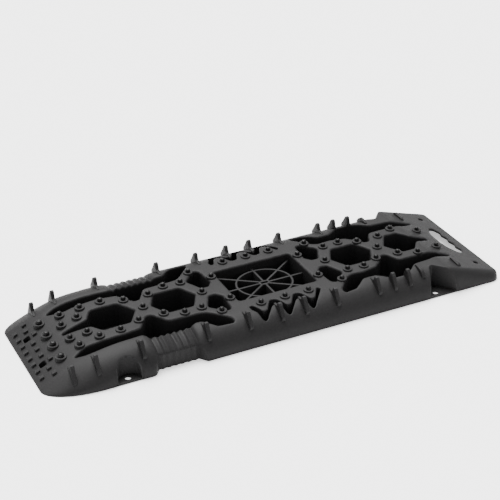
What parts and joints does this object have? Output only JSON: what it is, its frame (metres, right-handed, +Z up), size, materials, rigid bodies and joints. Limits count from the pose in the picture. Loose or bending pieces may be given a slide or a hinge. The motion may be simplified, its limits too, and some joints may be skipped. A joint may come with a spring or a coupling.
{
  "type": "tire traction mat",
  "caption": "Long ribbed plastic board laid under a stuck wheel, with gripping studs and side cleats, a thin nose ramp and a hand slot.",
  "frame": {"origin": "on the ground at the middle of the board's length and width", "axes": "+X along the board from the thin nose to the hand slot, +Y to the board's left side, +Z up"},
  "size_m": [1.06, 0.326, 0.072],
  "materials": {
    "nylon": "matte fine-grained black nylon, slightly worn on the ribs and stud tips"
  },
  "bodies": {
    "root": {"bridge_front_left": "nylon", "bridge_front_right": "nylon", "bridge_rear_left": "nylon", "bridge_rear_right": "nylon", "centre_web": "nylon", "floor_pan": "nylon", "frame_bar_front": "nylon", "frame_bar_rear": "nylon", "frame_side_left": "nylon", "frame_side_right": "nylon", "front_beam_left": "nylon", "front_beam_right": "nylon", "front_lug_left": "nylon", "front_lug_right": "nylon", "front_rail_left": "nylon", "front_rail_right": "nylon", "grip_left": "nylon", "grip_right": "nylon", "hand_bar": "nylon", "hand_bridge": "nylon", "knot_front": "nylon", "knot_rear": "nylon", "mid_beam_front_left": "nylon", "mid_beam_front_right": "nylon", "mid_beam_rear_left": "nylon", "mid_beam_rear_right": "nylon", "mid_rail_left": "nylon", "mid_rail_right": "nylon", "nose_ramp": "nylon", "notched_rail_left": "nylon", "notched_rail_right": "nylon", "outrigger_front_left": "nylon", "outrigger_front_right": "nylon", "outrigger_rear_left": "nylon", "outrigger_rear_right": "nylon", "rear_beam_left": "nylon", "rear_beam_right": "nylon", "rear_lug_left": "nylon", "rear_lug_right": "nylon", "rear_rail_left": "nylon", "rear_rail_right": "nylon", "spine_front": "nylon", "spine_rear": "nylon", "tail_corner_left": "nylon", "tail_corner_right": "nylon", "tail_rail_left": "nylon", "tail_rail_right": "nylon"}
  },
  "joints": []
}
